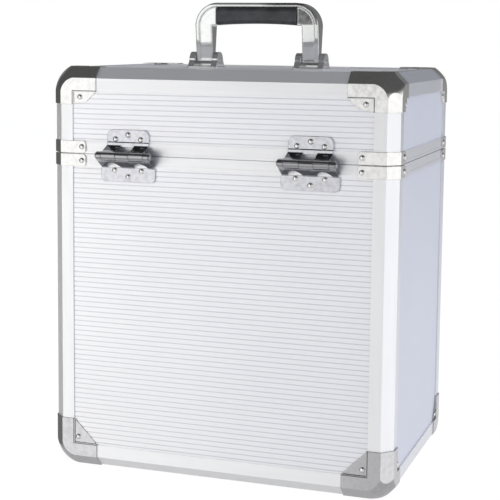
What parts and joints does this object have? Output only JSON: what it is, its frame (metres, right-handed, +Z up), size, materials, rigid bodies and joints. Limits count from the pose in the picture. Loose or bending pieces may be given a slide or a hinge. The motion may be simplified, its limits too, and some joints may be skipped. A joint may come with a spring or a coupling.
{
  "type": "record carrying case",
  "caption": "Upright hard case for records, with bevelled edge extrusions, corner caps, a lid on stop hinges, draw latches, foam lining and a folding handle.",
  "frame": {"origin": "middle of the footprint, hinge barrels and opened latch levers included, on the surface that the bottom corner caps stand on", "axes": "+Z up; +X to the right seen from the hinge side; -Y is the hinge side and +Y the latch side"},
  "size_m": [0.352, 0.2847, 0.4685],
  "materials": {
    "panel_laminate": "plywood faced with fine ribbed silver laminate",
    "edge_aluminium": "satin anodised",
    "chrome_trim": "bright plated",
    "plated_steel": "bright plated pressed steel",
    "rivet_steel": "plated",
    "handle_chrome": "bright plated",
    "grip_plastic": "black moulded",
    "black_foam": "soft black foam with a napped face"
  },
  "bodies": {
    "base": {"base_back_left_corner_cap": "chrome_trim", "base_back_left_post": "edge_aluminium", "base_back_panel": "panel_laminate", "base_back_rail": "edge_aluminium", "base_back_right_corner_cap": "chrome_trim", "base_back_right_post": "edge_aluminium", "base_floor_panel": "panel_laminate", "base_front_left_corner_cap": "chrome_trim", "base_front_left_post": "edge_aluminium", "base_front_panel": "panel_laminate", "base_front_rail": "edge_aluminium", "base_front_right_corner_cap": "chrome_trim", "base_front_right_post": "edge_aluminium", "base_left_panel": "panel_laminate", "base_left_rail": "edge_aluminium", "base_lining": "black_foam", "base_right_panel": "panel_laminate", "base_right_rail": "edge_aluminium", "base_rim": "edge_aluminium", "base_rivets": "rivet_steel", "base_seam_wraps": "chrome_trim", "hinge_base_leaf_left": "plated_steel", "hinge_base_leaf_right": "plated_steel", "hinge_pins": "plated_steel", "latch_lever_pins": "plated_steel", "latch_plates": "plated_steel"},
    "lid": {"handle_brackets": "handle_chrome", "handle_pins": "plated_steel", "hinge_lid_leaf_left": "plated_steel", "hinge_lid_leaf_right": "plated_steel", "latch_catches": "plated_steel", "lid_back_left_corner_cap": "chrome_trim", "lid_back_left_post": "edge_aluminium", "lid_back_panel": "panel_laminate", "lid_back_rail": "edge_aluminium", "lid_back_right_corner_cap": "chrome_trim", "lid_back_right_post": "edge_aluminium", "lid_front_left_corner_cap": "chrome_trim", "lid_front_left_post": "edge_aluminium", "lid_front_panel": "panel_laminate", "lid_front_rail": "edge_aluminium", "lid_front_right_corner_cap": "chrome_trim", "lid_front_right_post": "edge_aluminium", "lid_left_panel": "panel_laminate", "lid_left_rail": "edge_aluminium", "lid_lining": "black_foam", "lid_right_panel": "panel_laminate", "lid_right_rail": "edge_aluminium", "lid_rim": "edge_aluminium", "lid_rivets": "rivet_steel", "lid_seam_wraps": "chrome_trim", "lid_top_panel": "panel_laminate"},
    "handle": {"handle_bow": "handle_chrome", "handle_grip": "grip_plastic"},
    "lever_left": {"claw_pin_left": "plated_steel", "latch_lever_left": "plated_steel"},
    "lever_right": {"claw_pin_right": "plated_steel", "latch_lever_right": "plated_steel"},
    "claw_left": {"latch_claw_left": "plated_steel"},
    "claw_right": {"latch_claw_right": "plated_steel"}
  },
  "joints": [
    {"name": "lid_hinge", "type": "hinge", "parent": "base", "child": "lid", "pos_m": [0, -0.13697, 0.318], "axis": [1, 0, 0], "range_deg": [0, 95]},
    {"name": "handle_swing", "type": "hinge", "parent": "lid", "child": "handle", "pos_m": [0, -0.00547, 0.4095], "axis": [1, 0, 0], "range_deg": [-84, 84]},
    {"name": "latch_lever_left_swing", "type": "hinge", "parent": "base", "child": "lever_left", "pos_m": [-0.0925, 0.11853, 0.303], "axis": [1, 0, 0], "range_deg": [-95, 0]},
    {"name": "latch_claw_left_swing", "type": "hinge", "parent": "lever_left", "child": "claw_left", "pos_m": [-0.0925, 0.12058, 0.30864], "axis": [1, 0, 0], "range_deg": [0, 127]},
    {"name": "latch_lever_right_swing", "type": "hinge", "parent": "base", "child": "lever_right", "pos_m": [0.0925, 0.11853, 0.303], "axis": [1, 0, 0], "range_deg": [-95, 0]},
    {"name": "latch_claw_right_swing", "type": "hinge", "parent": "lever_right", "child": "claw_right", "pos_m": [0.0925, 0.12058, 0.30864], "axis": [1, 0, 0], "range_deg": [0, 127]}
  ],
  "couplings": [
    {"joint": "latch_claw_left_swing", "follows": "latch_lever_left_swing", "ratio": -1.33},
    {"joint": "latch_claw_right_swing", "follows": "latch_lever_right_swing", "ratio": -1.33}
  ]
}
